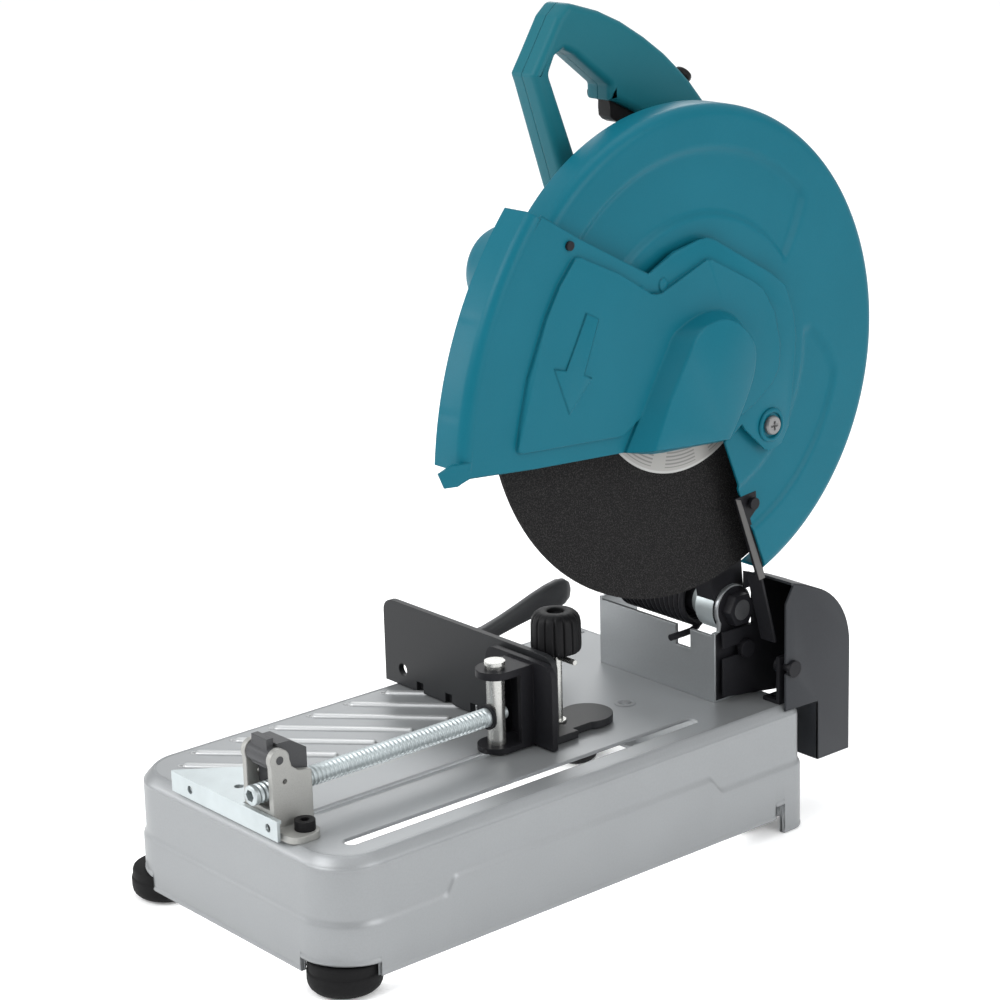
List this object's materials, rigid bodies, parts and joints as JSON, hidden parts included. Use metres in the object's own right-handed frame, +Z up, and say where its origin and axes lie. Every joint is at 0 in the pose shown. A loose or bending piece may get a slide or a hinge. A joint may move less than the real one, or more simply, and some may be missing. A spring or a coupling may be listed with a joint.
{
  "type": "abrasive chop saw",
  "caption": "Benchtop abrasive chop saw: a teal swing head with a guarded 355 mm cut-off wheel and D handle over a pressed steel base with a screw vise and fence.",
  "frame": {"origin": "centre of the overall box at bench level", "axes": "+X to the operator's right, +Y to the back, +Z up"},
  "size_m": [0.29, 0.5378, 0.641],
  "materials": {
    "teal_paint": "satin",
    "teal_plastic": "satin",
    "pressed_steel": "satin",
    "zinc_steel": "bright zinc",
    "cast_metal": "sand cast",
    "black_metal": "satin",
    "dark_sheet": "satin",
    "dark_steel": "oiled",
    "black_plastic": "matte",
    "rubber": "matte",
    "abrasive": "rough grain",
    "label_paper": "printed paper",
    "copper": "winding",
    "bright_screw": "bright"
  },
  "bodies": {
    "base": {"base_tray": "pressed_steel", "foot_front_right": "rubber", "foot_front_left": "rubber", "foot_rear_right": "rubber", "foot_rear_left": "rubber", "front_plate": "zinc_steel", "nut_bracket": "cast_metal", "bracket_bolt": "black_metal", "nut_pin": "dark_steel", "hinge_bracket": "cast_metal", "hinge_shaft": "dark_steel", "hinge_nut": "black_metal", "torsion_spring": "black_metal", "guide_plate": "black_metal", "lever_bolt": "dark_steel", "spark_tab": "cast_metal", "spark_bolt": "black_metal"},
    "quick_nut": {"half_nut": "dark_steel"},
    "lever": {"clamp_lever": "dark_steel"},
    "stop_pin": {"locating_pin": "zinc_steel", "pin_knob": "black_plastic"},
    "carriage": {"trunnion_pin": "zinc_steel"},
    "vise_jaw": {"vise_plate": "black_metal"},
    "screw": {"vise_screw": "zinc_steel", "screw_ring": "black_metal"},
    "spark_guard": {"spark_box": "dark_sheet"},
    "head": {"swing_arm": "cast_metal", "gear_housing": "cast_metal", "motor_housing": "teal_plastic", "motor_end_cap": "teal_paint", "brush_caps": "black_plastic", "stator": "copper", "spindle_bearing": "zinc_steel", "motor_bearings": "zinc_steel", "guard": "teal_paint", "deflector": "dark_sheet", "deflector_screw": "black_metal", "pivot_screw": "bright_screw", "handle_left": "teal_plastic", "handle_right": "teal_plastic", "handle_screws": "black_metal", "switch_body": "black_plastic", "cable_inlet": "rubber"},
    "cover": {"safety_cover": "teal_paint", "cover_screw": "black_metal"},
    "wheel": {"gear_wheel": "dark_steel", "spindle": "cast_metal", "inner_flange": "cast_metal", "outer_flange": "cast_metal", "wheel_bolt": "dark_steel", "abrasive_wheel": "abrasive", "wheel_label": "label_paper"},
    "rotor": {"armature": "copper", "cooling_fan": "black_plastic"},
    "trigger_lever": {"trigger": "black_plastic"},
    "lock_off": {"lock_off_button": "black_plastic"},
    "lock_pin": {"shaft_lock": "black_plastic"}
  },
  "joints": [
    {"name": "head_pivot", "type": "hinge", "parent": "base", "child": "head", "pos_m": [0.02, 0.15505, 0.174], "axis": [1, 0, 0], "range_deg": [0, 56], "stiffness_Nm_per_rad": 16, "springref_deg": -74.48},
    {"name": "cover_swing", "type": "hinge", "parent": "head", "child": "cover", "pos_m": [0.127, 0.14965, 0.3272], "axis": [-1, 0, 0], "range_deg": [0, 47.6]},
    {"name": "wheel_spin", "type": "hinge", "parent": "head", "child": "wheel", "pos_m": [0.098, 0.08425, 0.3837], "axis": [1, 0, 0], "continuous": true},
    {"name": "motor_spin", "type": "hinge", "parent": "head", "child": "rotor", "pos_m": [-0.02, 0.12025, 0.4101], "axis": [1, 0, 0], "continuous": true},
    {"name": "trigger_press", "type": "hinge", "parent": "head", "child": "trigger_lever", "pos_m": [0.05, 0.06405, 0.584], "axis": [1, 0, 0], "range_deg": [0, 6], "stiffness_Nm_per_rad": 2, "springref_deg": -5.73},
    {"name": "lock_off_press", "type": "slide", "parent": "head", "child": "lock_off", "axis": [0, -0.6157, -0.788], "range_m": [0, 0.004], "stiffness_N_per_m": 400, "springref_m": -0.002},
    {"name": "shaft_lock_press", "type": "slide", "parent": "head", "child": "lock_pin", "axis": [1, 0, 0], "range_m": [0, 0.006], "stiffness_N_per_m": 300, "springref_m": -0.002},
    {"name": "vise_slide", "type": "slide", "parent": "base", "child": "carriage", "axis": [0, -1, 0], "range_m": [0, 0.15]},
    {"name": "screw_turn", "type": "hinge", "parent": "carriage", "child": "screw", "pos_m": [0.04, -0.15895, 0.1295], "axis": [0, -1, 0], "continuous": true},
    {"name": "vise_swivel", "type": "hinge", "parent": "carriage", "child": "vise_jaw", "pos_m": [0.04, -0.04695, 0.1295], "axis": [0, 0, 1], "range_deg": [-4, 4]},
    {"name": "half_nut_flip", "type": "hinge", "parent": "base", "child": "quick_nut", "pos_m": [0.039, -0.25295, 0.156], "axis": [1, 0, 0], "range_deg": [0, 90]},
    {"name": "lever_turn", "type": "hinge", "parent": "base", "child": "lever", "pos_m": [-0.08, 0.00805, 0.132], "axis": [0, 0, 1], "range_deg": [-50, 40]},
    {"name": "stop_pin_lift", "type": "slide", "parent": "base", "child": "stop_pin", "axis": [0, 0, 1], "range_m": [0, 0.025]},
    {"name": "spark_box_slide", "type": "slide", "parent": "base", "child": "spark_guard", "axis": [0, 1, 0], "range_m": [0, 0.05]}
  ],
  "couplings": [
    {"joint": "cover_swing", "follows": "head_pivot", "ratio": 0.85},
    {"joint": "motor_spin", "follows": "wheel_spin", "ratio": -4.6667},
    {"joint": "screw_turn", "follows": "vise_slide", "rad_per_m": 1570.8}
  ]
}
